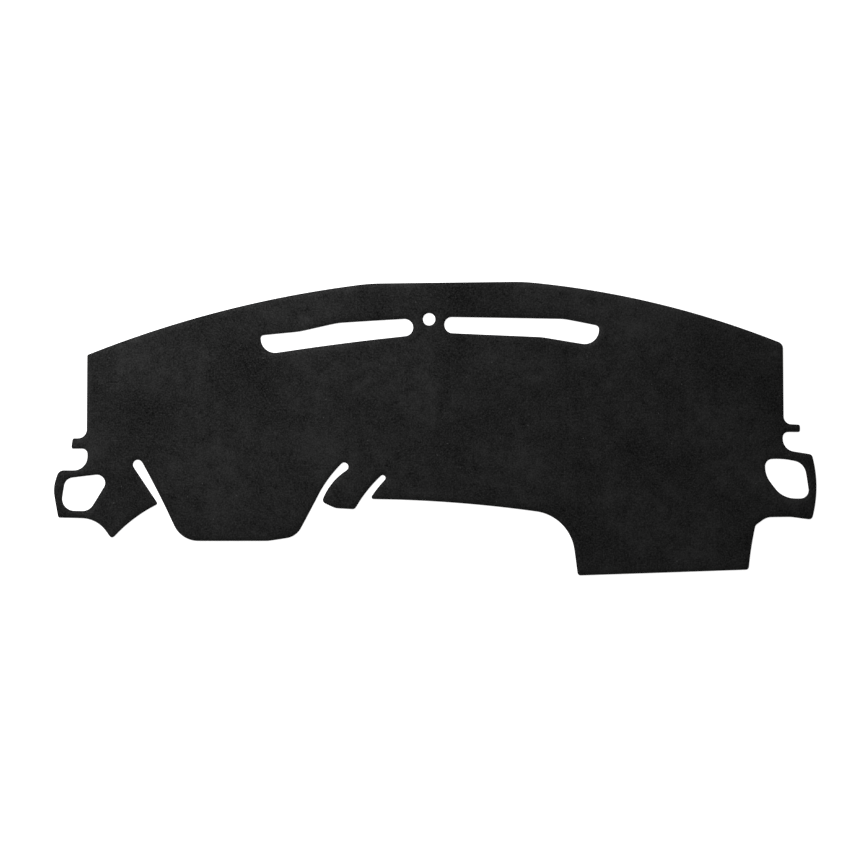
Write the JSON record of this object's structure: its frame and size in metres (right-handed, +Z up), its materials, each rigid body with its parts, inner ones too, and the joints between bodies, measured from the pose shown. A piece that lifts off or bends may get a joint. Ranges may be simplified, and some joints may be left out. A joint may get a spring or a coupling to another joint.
{
  "type": "dashboard cover mat",
  "caption": "Flat brushed-fabric mat cut to cover a car's dashboard, with demister slots, a sensor hole, vent windows in its ears, slits beside the instrument hood and a glovebox flap.",
  "frame": {"origin": "middle of the mat's outline, at its underside", "axes": "+Z up from the face of the mat laid flat, +X across the car to the passenger's side, +Y to the windscreen"},
  "size_m": [1.4998, 0.5776, 0.004],
  "materials": {
    "brushed_fabric": "matte black brushed flannel with a crushed nap"
  },
  "bodies": {
    "root": {"cover_mat": "brushed_fabric"}
  },
  "joints": []
}
